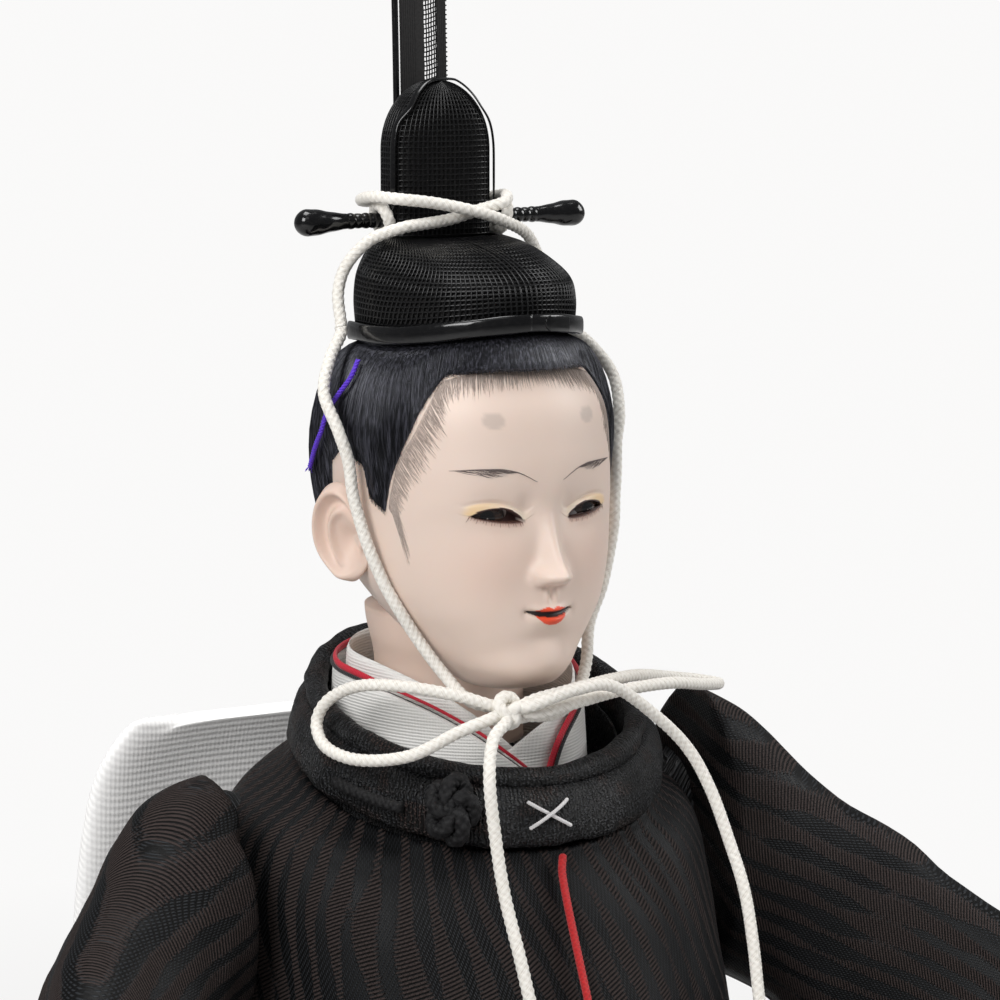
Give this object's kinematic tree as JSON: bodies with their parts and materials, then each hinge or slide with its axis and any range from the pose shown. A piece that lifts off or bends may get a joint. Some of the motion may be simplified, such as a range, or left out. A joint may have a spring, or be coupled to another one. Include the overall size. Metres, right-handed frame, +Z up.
{
  "type": "doll",
  "caption": "Seated court doll with a tall gauze cap and plume, a chin cord tied in a bow, layered robe, baton and sword.",
  "frame": {"origin": "on the ground under the seat board, on the neck axis", "axes": "+Z up, -Y the way the doll faces, +X the doll's left"},
  "size_m": [0.2072, 0.2051, 0.3073],
  "materials": {
    "wood": "plain",
    "straw": "wound straw",
    "wire": "drawn wire",
    "white_silk": "ribbed",
    "red_silk": "satin",
    "black_braid": "braided",
    "white_cord": "braided",
    "brocade": "figured weave",
    "belt_leather": "lacquered",
    "red_cord": "braided",
    "skin": "matte shell white",
    "eye_glass": "glossy",
    "hair": "silk fibre",
    "purple_cord": "twisted",
    "gauze": "open mesh",
    "lacquer": "gloss lacquer",
    "brass": "gilt",
    "steel": "polished"
  },
  "bodies": {
    "torso": {"seat_board": "wood", "body_core": "straw", "arm_wire": "wire", "inner_collar_right": "white_silk", "inner_collar_left": "white_silk", "outer_collar_right": "white_silk", "outer_collar_left": "white_silk", "red_piping_right": "red_silk", "red_piping_left": "red_silk", "collar_band": "black_braid", "collar_roll": "black_braid", "frog_knot": "black_braid", "frog_loop": "black_braid", "cross_stitch_under": "white_cord", "cross_stitch_over": "white_cord", "robe_body": "brocade", "belt": "belt_leather", "front_cord": "red_cord", "trouser_right": "white_silk", "trouser_left": "white_silk", "sleeve_right": "brocade", "sleeve_left": "brocade", "sleeve_lining_white_right": "white_silk", "sleeve_lining_white_left": "white_silk", "sleeve_lining_red_right": "red_silk", "sleeve_lining_red_left": "red_silk", "hand_right": "skin", "hand_left": "skin", "train_panel": "white_silk", "sword_hanger": "black_braid", "bow_loop_right": "white_cord", "bow_loop_left": "white_cord", "cord_tail_right": "white_cord", "cord_tail_left": "white_cord", "bow_knot": "white_cord"},
    "head": {"neck_peg": "wood", "head": "skin", "eye_right": "eye_glass", "eye_left": "eye_glass", "hair": "hair", "hair_cord": "purple_cord", "cap_bowl": "gauze", "cap_rim": "lacquer", "cap_crest": "gauze", "crest_trim": "lacquer", "cap_pin": "lacquer", "plume_socket": "lacquer", "cap_cord_wrap": "white_cord", "cheek_cord_right": "white_cord", "cheek_cord_left": "white_cord"},
    "plume": {"plume": "gauze", "plume_rod": "lacquer"},
    "baton": {"baton": "wood"},
    "scabbard": {"scabbard": "lacquer"},
    "blade": {"blade": "steel", "guard": "brass", "hilt": "white_cord"}
  },
  "joints": [
    {"name": "head_turn", "type": "hinge", "parent": "torso", "child": "head", "pos_m": [0, 0, 0.137], "axis": [0, 0, 1], "range_deg": [-12, 12], "deforming": ["cheek_cord_right", "cheek_cord_left"]},
    {"name": "plume_lift", "type": "slide", "parent": "head", "child": "plume", "axis": [0, 0, 1], "range_m": [0, 0.012]},
    {"name": "baton_slide", "type": "slide", "parent": "torso", "child": "baton", "axis": [0, 0, 1], "range_m": [0, 0.03]},
    {"name": "sword_slide", "type": "slide", "parent": "torso", "child": "scabbard", "axis": [-0.0307, -0.9777, 0.2079], "range_m": [0, 0.025]},
    {"name": "blade_draw", "type": "slide", "parent": "scabbard", "child": "blade", "axis": [-0.0307, -0.9777, 0.2079], "range_m": [0, 0.05]}
  ]
}
